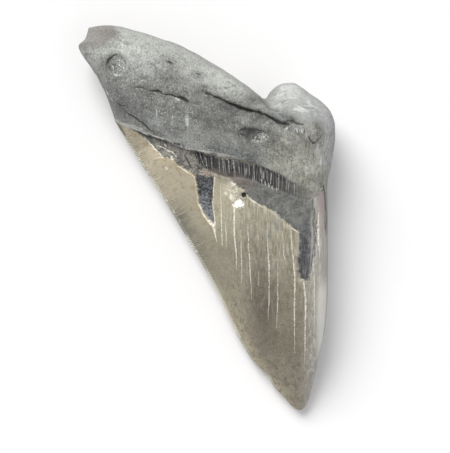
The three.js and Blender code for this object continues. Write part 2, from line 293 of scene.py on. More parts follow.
def rootRim(q, v):
    s = toothShape
    left = mixed(s["shoulderEdgeHeight"], s["rootRimHeight"], smoothStep(v, 0, 0.4))
    right = mixed(s["brokenSideHeight"], s["rootRimHeight"], v)
    return mixed(left, right, q) + 2 * v * np.sin(math.pi * q)


def crownDome(q):  # a power curve up to the ridge and a parabola down from it
    ridge = toothShape["ridgePlace"]
    rising = 1 - np.clip(1 - q / ridge, 0, 1) ** 1.8
    return rising - 0.2 * (np.clip(q - ridge, 0, 1) / (1 - ridge)) ** 2


# Upper face of the crown: rim + (crest - rim) x dome, and the crest is a power curve from point to gum line.
def crownTop(q, v):
    s = toothShape
    rim = crownRim(q, v)
    crest = mixed(s["tipHeight"], s["crownHeight"], 1 - (1 - v) ** 2.2)
    return rim + (crest - rim) * crownDome(q) * rollUp(1 - q, s["crownSideRound"]) * rollUp(v, s["tipRound"])


# Upper face of the root: the crown's height at the gum line and a lip, rising to a sine-shaped crest half way
# up, then rounded off at its end, side and top. A bell-shaped valley comes down from the notch.
def rootTopFace(q, v):
    s = toothShape
    rim = rootRim(q, v)
    gum = mixed(crownRim(q, 1), s["crownHeight"], crownDome(q))
    crest = mixed(s["rootEndHeight"], s["rootHeight"], np.sin(math.pi * q / 1.5))
    rise = mixed(1 - (1 - np.clip(v / 0.5, 0, 1)) ** 2, smoothStep(v, 0, 0.5), smoothStep(q, 0.5, 0.8))
    lip = s["lipHeight"] * smoothStep(v, 0, s["lipWidth"]) * smoothStep(q, 0, 0.2)
    lip = lip * (1 - smoothStep(q, 0.6, 0.82))
    sideReach = mixed(s["crownSideRound"], s["rootSideRound"], smoothStep(v, 0, 0.4))
    rounding = rollUp(q, s["endRound"] * smoothStep(v, 0, 0.3) + 1e-6)
    rounding = rounding * rollUp(1 - q, sideReach) * rollUp(1 - v, s["topRound"])
    valley = 2.4 * np.exp(-(((q - mixed(0.85, 0.76, v)) / 0.035) ** 2)) * smoothStep(v, 0.45, 0.75)
    return rim + (mixed(gum, crest, rise) + lip * (1 - rise) - rim) * rounding - valley * rollUp(1 - v, 0.1)


# Lower face: a slight hollow less a bell over each pad, cut off at the table, and bevelled up to the rim.
def undersideFace(q, v, rim, bevel, sideReach, endShare):
    height = toothShape["hollow"]
    for across, along, halfWidth, halfLength in toothShape["pads"]:
        far = ((q - across) / halfWidth) ** 2 + ((v - along) / halfLength) ** 2
        height = height - toothShape["padHeight"] * np.exp(-far)
    share = 1 - (1 - bevel) * rollUp(1 - q, sideReach) * (1 - endShare)
    return mixed(np.maximum(height, 0), rim, share)


def crownUnderside(q, v):
    s = toothShape
    reach = mixed(s["crownBevel"], s["shoulderBevel"], v**2)
    bevel = (1 - np.clip(q / reach, 0, 1)) ** 1.7
    tip = (1 - np.clip(v / 0.12, 0, 1)) ** 1.7
    return undersideFace(q, v, crownRim(q, v), bevel, s["crownSideRound"], tip)


def rootUnderside(q, v):
    s = toothShape
    bevel = (1 - np.clip(q / s["shoulderBevel"], 0, 1)) ** 1.7
    left = mixed(bevel, 1 - rollUp(q, s["endRound"]), smoothStep(v, 0, 0.35))
    sideReach = mixed(s["crownSideRound"], s["undersideRound"], smoothStep(v, 0, 0.4))
    return undersideFace(q, 1 + v, rootRim(q, v), left, sideReach, 1 - rollUp(1 - v, s["topRound"]))


# Value noise: random numbers on a cubic lattice, blended smoothly between its corners, from -1 to 1.
def softNoise(points, cell, seed):
    lattice = np.random.default_rng(seed).uniform(-1, 1, (32, 32, 32))
    scaled = points / cell
    base = np.floor(scaled).astype(int)
    part = scaled - base
    part = part * part * (3 - 2 * part)
    total = 0
    for corner in itertools.product((0, 1), repeat=3):
        at = (base + corner) % 32
        weight = np.prod(np.where(np.array(corner) == 1, part, 1 - part), axis=-1)
        total = total + weight * lattice[at[..., 0], at[..., 1], at[..., 2]]
    return total


def layeredNoise(points, cell, seed, layers=3):  # each layer is half as wide and half as strong
    return sum(softNoise(points, cell / 2**k, seed + k) / 2**k for k in range(layers))


# Distance to a run of straight pieces, and the half width there where the points give one.
def lineGap(x, y, line):
    best = np.full(x.shape, 1e6)
    width = np.zeros(x.shape)
    for start, end in zip(line[:-1], line[1:]):
        dx, dy = end[0] - start[0], end[1] - start[1]
        share = np.clip(((x - start[0]) * dx + (y - start[1]) * dy) / (dx * dx + dy * dy), 0, 1)
        gap = np.hypot(x - start[0] - share * dx, y - start[1] - share * dy)
        if len(start) == 3:
            width = np.where(gap < best, mixed(start[2], end[2], share), width)
        best = np.minimum(best, gap)
    return best, width


# Nearest of many strokes: the distance to it with a sign for its side, the plain distance, and its half width
# there, which runs out beyond its ends.
def strokeFields(kind, x, y, strokes):
    side, gap, width = np.zeros(x.shape), np.full(x.shape, 1e6), np.zeros(x.shape)
    for stroke in strokes:
        for (x0, y0, w0), (x1, y1, w1) in zip(stroke[:-1], stroke[1:]):
            dx, dy = x1 - x0, y1 - y0
            length = math.hypot(dx, dy)
            run = ((x - x0) * dx + (y - y0) * dy) / length
            across = ((x - x0) * dy - (y - y0) * dx) / length
            held = np.clip(run, 0, length)
            here = np.hypot(across, run - held)
            nearer = here < gap
            side = np.where(nearer, np.sign(across) * here, side)
            width = np.where(nearer, mixed(w0, w1, held / length) - 0.5 * np.abs(run - held), width)
            gap = np.minimum(gap, here)
    return {kind + "Side": side, kind + "Gap": np.minimum(gap, 5), kind + "Width": width}


# Signed distance to a closed outline, positive inside, where a ray to the right crosses it an odd number
# of times.
def areaSide(x, y, outline):
    closed = outline + outline[:1]
    gap, _ = lineGap(x, y, closed)
    crossings = np.zeros(x.shape, int)
    for (x0, y0), (x1, y1) in zip(closed[:-1], closed[1:]):
        if y0 != y1:
            meets = (y0 > y) != (y1 > y)
            crossings += meets & (x < x0 + (y - y0) * (x1 - x0) / (y1 - y0))
    return np.where(crossings % 2 == 1, gap, -gap)


def patchLight(grid):  # bell curves added up
    bells = [light * np.exp(-(((grid[..., 0] - x) / across) ** 2) - ((grid[..., 1] - y) / along) ** 2)
             for x, y, across, along, light in patches]
    return sum(bells)


def surfaceNormals(grid):  # cross product of the steps along both directions of the grid
    normals = np.cross(np.gradient(grid, axis=1), np.gradient(grid, axis=0))
    return normals / np.maximum(np.linalg.norm(normals, axis=-1, keepdims=True), 1e-12)


# Both faces as grids of points: rows from the point of the crown to the top of the root, columns from the
# cutting edge to the broken side. They meet along their outer rows and columns.
def plainFaces():
    s = toothShape
    across = packed(s["columns"], 0.5)
    crownAlong = np.arange(s["crownRows"] + 1) / s["crownRows"]
    rootAlong = packed(s["rootRows"], 0.4)[1:]
    crownPlan = coonsPatch(s["tipArc"], s["gumLine"], s["cuttingEdge"], s["brokenSide"], across, crownAlong)
    rootPlan = coonsPatch(s["gumLine"], s["rootTop"], s["rootEnd"], s["rootSide"], across, rootAlong)
    plan = np.vstack([crownPlan, rootPlan])
    q = across[None]
    crown, root = crownAlong[:, None], rootAlong[:, None]
    rim = np.vstack([crownRim(q, crown), rootRim(q, root)])
    top = np.vstack([crownTop(q, crown), rootTopFace(q, root)])
    under = np.vstack([crownUnderside(q, crown), rootUnderside(q, root)])
    onRim = np.ones(rim.shape, bool)
    onRim[1:-1, 1:-1] = False
    upper = np.dstack([plan, np.where(onRim, rim, top)])
    lower = np.dstack([plan, np.where(onRim, rim, under)])
    return upper, lower


upper, lower = plainFaces()
gumRow = toothShape["crownRows"]
lowCorner, highCorner = (np.array(corner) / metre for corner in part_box("tooth"))
shift = np.zeros(3)
shift[:2] = ((lowCorner + highCorner) / 2 - (upper.min((0, 1)) + upper.max((0, 1))) / 2)[:2]
print("tooth: plain faces", upper.shape, "shift", shift.round(3))


def edgeDistance(grid, column):  # straight distance from each point to the rim point of its own row
    return np.linalg.norm(grid - grid[:, column][:, None], axis=-1)


# Saw teeth: each is a few rows long, and its groove fades out over a short reach up the face. Low noise adds
# worn stretches and nicks. It also gives where a painted highlight goes: on the crest of each tooth,
# between the grooves.
def serrate(grid, column, inward, depth):
    s = toothShape
    rows = np.arange(grid.shape[0])
    phase = ((rows + 0.5) % s["serrationRows"]) / s["serrationRows"]
    groove = np.sin(math.pi * phase) ** 2
    wear = 0.6 + 0.5 * softNoise(grid[:, column], 6.0, 41)
    nicks = np.clip(layeredNoise(grid[:, column], 2.6, 47, 2) - 0.35, 0, 1) * 0.9
    onCrown = smoothStep(rows, 4, 30) * (1 - smoothStep(rows, gumRow - 30, gumRow - 6))
    fade = np.clip(1 - edgeDistance(grid, column) / s["serrationReach"], 0, 1) ** 1.5
    cut = (groove * mixed(0.35, 1, wear) * depth + nicks) * onCrown
    reach = np.clip(2.1 - edgeDistance(grid, column) / s["serrationReach"], 0, 1)
    notches = (cut[:, None] * fade)[..., None] * inward[:, None]
    return grid + notches, ((1 - groove) * onCrown)[:, None] * reach


leftInward = upper[:, 4] - upper[:, 0]
leftInward[:, 2] = 0
leftInward /= np.linalg.norm(leftInward, axis=1, keepdims=True)
upperCut, tick = serrate(upper, 0, leftInward, toothShape["serrationDepth"])
lowerCut, lowerCrestHighlight = serrate(lower, 0, leftInward, toothShape["serrationDepth"])


# What happens on the upper face, read from above: signed distances to the worn places (positive inside), and
# how far the surface is raised or sunk along its normal.
def upperFeatures(grid):
    w, c = toothWear, rootCracks
    x, y = grid[..., 0], grid[..., 1]
    rows = np.arange(grid.shape[0])[:, None]
    ragged = 0.28 * layeredNoise(grid, 1.8, 3) + 0.35 * softNoise(grid, 5.0, 7)
    gumGap, _ = lineGap(x, y, [tuple(p) for p in alongCurve(toothShape["gumLine"], np.linspace(0, 1, 60))])
    gum = np.where(rows >= gumRow, gumGap, -gumGap)
    band = areaSide(x, y, w["band"])
    bare = areaSide(x, y, w["bare"]) + 1.1 * ragged + 0.25 * softNoise(grid, 0.9, 97)
    chip = areaSide(x, y, w["chip"]) + 0.4 * ragged
    worn = areaSide(x, y, w["worn"]) + 0.8 * ragged
    onRoot = smoothStep(gum, -0.05, 0.3)
    facet = areaSide(x, y, w["facet"])
    bumpy = 1 - 0.8 * smoothStep(facet, -0.5, 0.5)
    settled = smoothStep(gum, 0, 5) + (1 - smoothStep(gum, 0, 5)) * (1 - smoothStep(x, 12, 24))
    unevenness = 0.35 * layeredNoise(grid, 11.0, 11) + 0.1 * bumpy * layeredNoise(grid, 2.4, 13)
    relief = onRoot * settled * unevenness
    relief -= 0.35 * smoothStep(facet, -0.6, 0.9)
    relief += (1 - onRoot) * (0.1 * softNoise(grid, 12.0, 17) + 0.02 * layeredNoise(grid, 3.0, 19))
    rib = softNoise(np.dstack([x, y * 0.06, 0 * x]), 1.7, 23)
    relief += (1 - onRoot) * 0.07 * rib * smoothStep(x, 27, 35)
    creased = np.exp(-(((x - 22) / 7) ** 2) - (((y - 25) / 4) ** 2))
    relief += onRoot * creased * 0.35 * layeredNoise(grid * [1, 0.5, 1], 2.2, 91)
    rough = layeredNoise(grid, 1.3, 29)
    onCrown = 1 - onRoot
    relief -= onCrown * smoothStep(band, -0.3, 0.3) * w["bandDepth"] * (1 - smoothStep(x, 14, 24))
    merged = mixed(1, smoothStep(-gum, 0, 5), smoothStep(x, 12, 22))
    relief -= onCrown * smoothStep(bare, -0.12, 0.22) * (w["bareDepth"] + 0.07 * rough) * merged
    relief -= onCrown * smoothStep(chip, -0.12, 0.3) * (w["chipDepth"] + 0.28 * rough)
    relief -= onCrown * smoothStep(worn, -0.1, 0.3) * (w["wornDepth"] + 0.2 * rough)
    pits = np.clip(softNoise(grid, 1.5, 31) - 0.55, 0, 1) * smoothStep(layeredNoise(grid, 9.0, 37), -0.2, 0.4)
    relief -= onRoot * 0.9 * pits
    relief -= 0.75 * smoothStep(grid[..., 2], 17, 27.5)                          # stays under the solid's top
    bentX = x + 0.3 * layeredNoise(grid, 1.8, 79, 2) + 0.3 * softNoise(grid, 4.0, 81)
    bentY = y + 0.3 * layeredNoise(grid, 1.8, 83, 2) + 0.3 * softNoise(grid, 4.0, 85)
    for name in ("long", "short", "left", "crease"):
        gap, width = lineGap(bentX, bentY, c[name])
        width = width * (1.2 + 0.9 * softNoise(grid, 1.5, 43)) + 0.1
        relief -= c[name + "Depth"] * smoothStep(width, 0.12, 0.3) * np.exp(-((gap / width) ** 2))
    gap, _ = lineGap(x, y, c["long"])
    above = smoothStep(y - np.interp(x, [p[0] for p in c["long"]], [p[1] for p in c["long"]]), -0.2, 0.3)
    spread = smoothStep(x, -2, 8) * (1 - smoothStep(x, 20, 27))
    relief += c["ledge"] * above * np.exp(-((gap / 4.5) ** 2)) * spread
    far = np.hypot(x - w["crater"][0], y - w["crater"][1]) / w["craterSize"] + 0.1 * rough
    relief -= w["craterDepth"] * (1 - 0.35 * smoothStep(far, 0, 0.6)) * (1 - smoothStep(far, 0.7, 1.02))
    relief += 0.25 * np.exp(-(((far - 1.15) / 0.2) ** 2))
    far = np.hypot((x - w["foramen"][0]) / w["foramenSize"][0], (y - w["foramen"][1]) / w["foramenSize"][1])
    relief -= w["foramenDepth"] * (1 - smoothStep(far + 0.35 * rough, 0.2, 1.1))
    far = np.hypot(x - w["hole"][0], y - w["hole"][1]) / w["holeSize"]
    relief -= w["holeDepth"] * (1 - smoothStep(far, 0.5, 1.1))
    far = np.hypot(x - w["whiteChip"][0], y - w["whiteChip"][1]) / w["whiteChipSize"] + 0.5 * rough
    relief -= 0.22 * (1 - smoothStep(far, 0.5, 1))
    brown = areaSide(x, y, w["brown"]) + 0.8 * ragged
    broken = x - np.interp(y, [-62, -36, 3, 10, 20, 42], [60, 39, 36.3, 37, 39, 41])
    bentPale = x + 0.08 * softNoise(grid, 1.6, 87), y + 0.08 * softNoise(grid, 1.6, 89)
    dark = [c["long"], c["short"], c["left"]] + darkMarks
    strokes = strokeFields("dark", bentX, bentY, dark)
    for part in (0, 1):                                   # neighbours take turns, so their fields stay apart
        strokes.update(strokeFields("pale%d" % part, *bentPale, paleMarks[part::2]))
    rise = np.concatenate([np.zeros(gumRow), np.linspace(0, 1, grid.shape[0] - gumRow)])[:, None] + 0 * x
    return {"rise": rise, "facetSide": facet + ragged, "gumSide": gum, "bandSide": band, "bareSide": bare,
            "chipSide": chip, "wornSide": worn, "brownSide": brown, "breakSide": broken,
            "patch": patchLight(grid), **strokes}, relief


# What happens on the lower face: the enamel reaches further up the root there, in an arch.
def lowerFeatures(grid):
    run = np.concatenate([np.zeros((1, grid.shape[1])),
                          np.cumsum(np.linalg.norm(np.diff(grid, axis=0), axis=-1), axis=0)])
    run = run - run[gumRow]
    q = packed(toothShape["columns"], 0.5)[None]
    gum = run - 9 * np.sin(math.pi * np.clip(q * 1.05, 0, 1)) ** 0.8 + 0.4 * layeredNoise(grid, 4.0, 53)
    onRoot = smoothStep(gum, -0.2, 0.4)
    relief = onRoot * (0.3 * layeredNoise(grid, 10.0, 59) + 0.1 * layeredNoise(grid, 2.4, 61) - 0.3)
    relief += (1 - onRoot) * 0.08 * softNoise(grid, 12.0, 67)
    breakGap = 4.5 - edgeDistance(grid, -1) + 0.4 * layeredNoise(grid, 3.0, 71)
    onBreak = smoothStep(breakGap, -0.2, 0.4) * (1 - smoothStep(run, -4, 0)) * smoothStep(run, -60, -44)
    relief -= onBreak * (0.25 + 0.15 * layeredNoise(grid * [1, 0.2, 1], 1.4, 73))
    fields = {name: np.full(gum.shape, -5.0) for name in upperFields}
    for name in fields:
        if name.startswith(("pale", "dark")) and not name.endswith("Width"):
            fields[name] = -fields[name]
    fields.update(rise=upperFields["rise"], gumSide=gum, bandSide=0.7 - np.abs(gum + 0.6), breakSide=breakGap,
                  patch=patchLight(grid))
    return fields, relief


def fadeIn(grid):  # keeps the rim where it is: 0 on it, 1 from a millimetre or so inside
    gap = np.minimum(edgeDistance(grid, 0), edgeDistance(grid, -1))
    gap = np.minimum(gap, np.linalg.norm(grid - grid[-1:], axis=-1))
    return smoothStep(np.minimum(gap, np.linalg.norm(grid - grid[:1], axis=-1)), 0, 1.1)


upperFields, upperRelief = upperFeatures(upper)
lowerFields, lowerRelief = lowerFeatures(lower)
upperRelief = upperRelief * fadeIn(upper)
lowerRelief = lowerRelief * fadeIn(lower)
upperFields.update(relief=upperRelief, tick=tick, facing=np.ones(tick.shape), edgeGap=edgeDistance(upper, 0),
                   steep=1 - surfaceNormals(upper)[..., 2])
lowerFields.update(relief=lowerRelief, tick=lowerCrestHighlight, facing=np.zeros(tick.shape),
                   edgeGap=edgeDistance(lower, 0), steep=1 - np.abs(surfaceNormals(lower)[..., 2]))
upperDone = upperCut + surfaceNormals(upper) * upperRelief[..., None]
lowerDone = lowerCut - surfaceNormals(lower) * lowerRelief[..., None]
lowerDone[..., 2] = np.maximum(lowerDone[..., 2], 0)
print("tooth: worn places, cracks and serration worked out")


# Joins the two grids into one closed mesh. The lower one keeps every other row and column, and its outer
# cells take in the rim point between.
def joinFaces():
    rows, columns = upperDone.shape[0] - 1, upperDone.shape[1] - 1
    top = np.arange((rows + 1) * (columns + 1)).reshape(rows + 1, columns + 1)
    low = top[::2, ::2].copy()
    inner = low[1:-1, 1:-1]
    inner[:] = top.size + np.arange(inner.size).reshape(inner.shape)
    quads = np.stack([top[:-1, :-1], top[:-1, 1:], top[1:, 1:], top[1:, :-1]], -1).reshape(-1, 4)
    cells = np.stack([low[:-1, :-1], low[1:, :-1], low[1:, 1:], low[:-1, 1:]], -1)
    left, right = cells[1:-1, 0], cells[1:-1, -1]
    bottom, crest = cells[0, 1:-1], cells[-1, 1:-1]
    outer = [np.insert(left, 1, top[3:-3:2, 0], axis=1), np.insert(right, 3, top[3:-3:2, -1], axis=1),
             np.insert(bottom, 4, top[0, 3:-3:2], axis=1), np.insert(crest, 2, top[-1, 3:-3:2], axis=1)]
    corners = [np.insert(cells[0, 0], [1, 4], [top[1, 0], top[0, 1]]),
               np.insert(cells[0, -1], [3, 4], [top[1, -1], top[0, -2]]),
               np.insert(cells[-1, 0], [1, 2], [top[-2, 0], top[-1, 1]]),
               np.insert(cells[-1, -1], [2, 3], [top[-1, -2], top[-2, -1]])]
    faces = quads.tolist() + cells[1:-1, 1:-1].reshape(-1, 4).tolist()
    for side in outer:
        faces += side.tolist()
    faces += [corner.tolist() for corner in corners]

    def stacked(upperValues, lowerValues):  # the lower grid gives only what isn't on the rim
        return np.concatenate([upperValues.reshape((rows + 1) * (columns + 1), -1),
                               lowerValues[2:-2:2, 2:-2:2].reshape(inner.size, -1)])

    mesh = bpy.data.meshes.new("toothSkin")
    mesh.from_pydata(((stacked(upperDone, lowerDone) + shift) * metre).tolist(), [], faces)
    for name in upperFields:
        values = mesh.attributes.new(name, "FLOAT", "POINT")
        values.data.foreach_set("value", stacked(upperFields[name], lowerFields[name]).ravel())
    mesh.polygons.foreach_set("use_smooth", np.ones(len(mesh.polygons), bool))
    mesh.update()
    print("tooth: mesh of", len(mesh.polygons), "faces, valid:", not mesh.validate(verbose=False))
    return mesh


toothObject = bpy.data.objects.new("toothBody", joinFaces())
bpy.context.scene.collection.objects.link(toothObject)


nodeTree = None                                                       # the tree that nodes are being added to


def openTree(tree):
    global nodeTree
    nodeTree = tree


# Short ways to add shader nodes
def addNode(kind, **settings):
    node = nodeTree.nodes.new(kind)
    for name, value in settings.items():
        setattr(node, name, value)
    return node


def feed(socket, value):  # links another socket, or sets a plain value
    if isinstance(value, bpy.types.NodeSocket):
        nodeTree.links.new(value, socket)
    else:
        socket.default_value = value


def calc(operation, *values):
    node = addNode("ShaderNodeMath", operation=operation)
    for socket, value in zip(node.inputs, values):
        feed(socket, value)
    return node.outputs[0]


def vectorCalc(operation, *values):
    node = addNode("ShaderNodeVectorMath", operation=operation)
    for socket, value in zip(node.inputs, values):
        feed(socket, value)
    return node.outputs["Value" if operation in ("LENGTH", "DOT_PRODUCT") else "Vector"]


def scaledVector(vector, factor):
    node = addNode("ShaderNodeVectorMath", operation="SCALE")
    feed(node.inputs[0], vector)
    feed(node.inputs["Scale"], factor)
    return node.outputs["Vector"]


def ease(value, low, high, start=0.0, end=1.0):  # S curve from start at low to end at high
    node = addNode("ShaderNodeMapRange", interpolation_type="SMOOTHSTEP")
    for socket, number in zip(node.inputs, (value, low, high, start, end)):
        feed(socket, number)
    return node.outputs[0]


def both(*shares):  # all of the shares multiplied together
    total = shares[0]
    for share in shares[1:]:
        total = calc("MULTIPLY", total, share)
    return total


def swing(noise, reach):  # noise around 0 that reaches as far to both sides
    return calc("MULTIPLY_ADD", noise, 2 * reach, -reach)


def paint(share, under, over):
    node = addNode("ShaderNodeMix", data_type="RGBA")
    feed(node.inputs[0], share)
    feed(node.inputs[6], under)
    feed(node.inputs[7], over)
    return node.outputs[2]


def cloud(vector, name):  # noise, about 0.5 on average
    node = addNode("ShaderNodeTexNoise", noise_dimensions="3D")
    feed(node.inputs["Vector"], vector)
    for socket, value in zip(("Scale", "Detail", "Roughness", "Distortion"), toothNoise[name]):
        node.inputs[socket].default_value = value
    return node.outputs["Fac"]


def stretched(place, name):  # made longer along each axis whose number is under 1
    return vectorCalc("MULTIPLY", place, toothStretch[name])


def specks(vector, scale):  # distance to the nearest of many scattered points
    node = addNode("ShaderNodeTexVoronoi", feature="F1")
    feed(node.inputs["Vector"], vector)
    node.inputs["Scale"].default_value = scale
    return node.outputs["Distance"]


def reading(name):
    return addNode("ShaderNodeAttribute", attribute_name=name).outputs["Fac"]


def tone(red, green, blue):  # a colour from 0 to 255 as the shader's linear one
    def linear(value):
        value /= 255
        return value / 12.92 if value <= 0.04045 else ((value + 0.055) / 1.055) ** 2.4
    return (linear(red), linear(green), linear(blue), 1.0)


def strokeShare(kind, wobble):  # soft ragged mark where the signed distance is under the half width
    gap, width = reading(kind + "Gap"), calc("MAXIMUM", reading(kind + "Width"), 0.01)
    offset = calc("ABSOLUTE", reading(kind + "Side"))
    mark = ease(calc("ADD", calc("DIVIDE", offset, width), wobble), 1.9, 0.4)
    reach = calc("MULTIPLY_ADD", width, 2.0, 0.3)
    return calc("MULTIPLY", mark, ease(calc("SUBTRACT", gap, reach), 0.0, -0.15))


def spot(flat, name):  # a soft ellipse
    centre, size, softness = toothSpots[name]
    away = vectorCalc("SUBTRACT", flat, (centre[0] + shift[0], centre[1] + shift[1], 0))
    away = vectorCalc("DIVIDE", away, (*size, 1))
    return ease(vectorCalc("LENGTH", away), 1.0, 1.0 - softness)


enamelFinish = {
    "tan": tone(176, 166, 143), "olive": tone(156, 151, 131), "middle": tone(134, 129, 111),
    "deep": tone(120, 112, 98), "point": tone(134, 127, 113), "dark": tone(96, 89, 78),
    "grey": tone(140, 142, 139), "side": tone(184, 181, 175), "sideDark": tone(146, 143, 139),
    "amber": tone(158, 132, 100), "sand": tone(164, 155, 130), "shade": tone(120, 117, 101),
    "core": tone(94, 87, 75), "veinAndHighlight": tone(238, 234, 219), "haze": tone(204, 198, 178),
    "edge": tone(98, 98, 86), "gleam": tone(206, 204, 198), "pink": tone(150, 134, 138),
    "lilac": tone(158, 147, 149), "rind": tone(104, 101, 90), "fleck": tone(238, 235, 224),
    "white": tone(246, 244, 236), "roughness": 0.52,
}
rootFinish = {
    "lip": tone(156, 158, 155), "low": tone(128, 130, 127), "ridge": tone(175, 177, 173),
    "knob": tone(184, 188, 185), "dark": tone(80, 81, 78), "endBrown": tone(108, 98, 92),
    "rim": tone(182, 180, 184), "shadow": tone(106, 109, 107), "brown": tone(172, 169, 154),
    "end": tone(112, 109, 107), "pale": tone(198, 200, 195), "glint": tone(228, 229, 224),
    "sparkle": tone(222, 225, 223), "streak": tone(216, 219, 217), "scrape": tone(214, 217, 216),
    "crack": tone(46, 44, 43), "roughness": 0.8,
}
dentineFinish = {
    "grey": tone(101, 102, 99), "blue": tone(88, 89, 94), "light": tone(129, 130, 127),
    "chip": tone(126, 130, 134), "dark": tone(48, 49, 52), "crumb": tone(160, 162, 162),
    "band": tone(52, 50, 51), "black": tone(32, 30, 31), "stria": tone(166, 164, 161),
    "brown": tone(146, 128, 116), "film": tone(158, 146, 134), "brownish": tone(108, 99, 93),
    "fringe": tone(116, 106, 100), "fracture": tone(140, 138, 133), "fractureDark": tone(112, 110, 106),
    "worn": tone(142, 139, 131), "wornDark": tone(98, 96, 93), "wornPale": tone(166, 163, 152),
    "wornBlack": tone(74, 72, 70), "hole": tone(46, 46, 42), "roughness": 0.68,
}

# Noises: scale in parts of a millimetre, layers, roughness, bend
toothNoise = {
    "fine": (1.7, 4, 0.65, 0), "medium": (0.45, 4, 0.6, 0), "broad": (0.085, 3, 0.5, 0),
    "streak": (1.1, 3, 0.6, 0), "thinStreak": (2.4, 2, 0.5, 0), "growth": (1.5, 3, 0.6, 0),
    "grain": (1.7, 5, 0.8, 0), "fibre": (1.7, 4, 0.7, 0), "blotch": (0.3, 3, 0.6, 0.5),
    "wrinkle": (0.75, 4, 0.65, 0.6), "crumble": (2.1, 4, 0.75, 0), "knob": (0.8, 3, 0.6, 0),
    "comb": (2.8, 2, 0.6, 0), "beads": (1.3, 2, 0.6, 0),
}
toothStretch = {
    "upright": (1, 0.07, 0.8), "grain": (1.2, 0.85, 1), "fibre": (1, 0.14, 0.4), "knob": (0.25, 1, 1),
    "cells": (1.15, 0.06, 0), "comb": (1, 0.05, 0.05), "beads": (1, 0.8, 1),
}
# Soft ellipses: centre, half sizes, softness
toothSpots = {
    "core": ((17.5, -25), (6, 17), 0.95), "pink": ((35.4, 6), (2.2, 7), 0.7),
    "brownish": ((12, 10.2), (6, 3.6), 0.9), "haze": ((7.4, 8.4), (5, 5), 1.0),
    "brightEnd": ((-21.5, 47), (8.5, 9), 0.9), "brightLobe": ((29, 28.6), (4, 4), 0.9),
    "brightLip": ((-15.5, 29), (6, 3), 0.9), "dimValley": ((14.5, 35.8), (7, 3), 0.9),
    "dimMiddle": ((-11.5, 42.6), (7, 4.5), 0.9), "craterSparkle": ((-27.6, 46.6), (3.2, 3.2), 0.6),
    "pitSparkle": ((16.6, 24.1), (4, 2.8), 0.8), "whiteChip": (toothWear["whiteChip"], (2.9, 2.4), 1.0),
    "chipRoom": (toothWear["whiteChip"], (3.2, 3.2), 0.2), "hole": (toothWear["hole"], (0.95, 0.95), 0.35),
}


def skinFields():  # what the coats below read, and they add their own shares to it
    coordinates = addNode("ShaderNodeTexCoord").outputs["Object"]
    place = scaledVector(coordinates, 1 / metre)
    flat = vectorCalc("MULTIPLY", place, (1, 1, 0))
    split = addNode("ShaderNodeSeparateXYZ")
    feed(split.inputs[0], flat)
    upright = stretched(place, "upright")                              # streaks that run along the tooth
    return SimpleNamespace(
        place=place, flat=flat, x=split.outputs["X"], y=split.outputs["Y"], facing=reading("facing"),
        edgeGap=reading("edgeGap"), steep=reading("steep"), fine=cloud(place, "fine"),
        medium=cloud(place, "medium"), broad=cloud(place, "broad"), streak=cloud(upright, "streak"),
        thinStreak=cloud(upright, "thinStreak"))
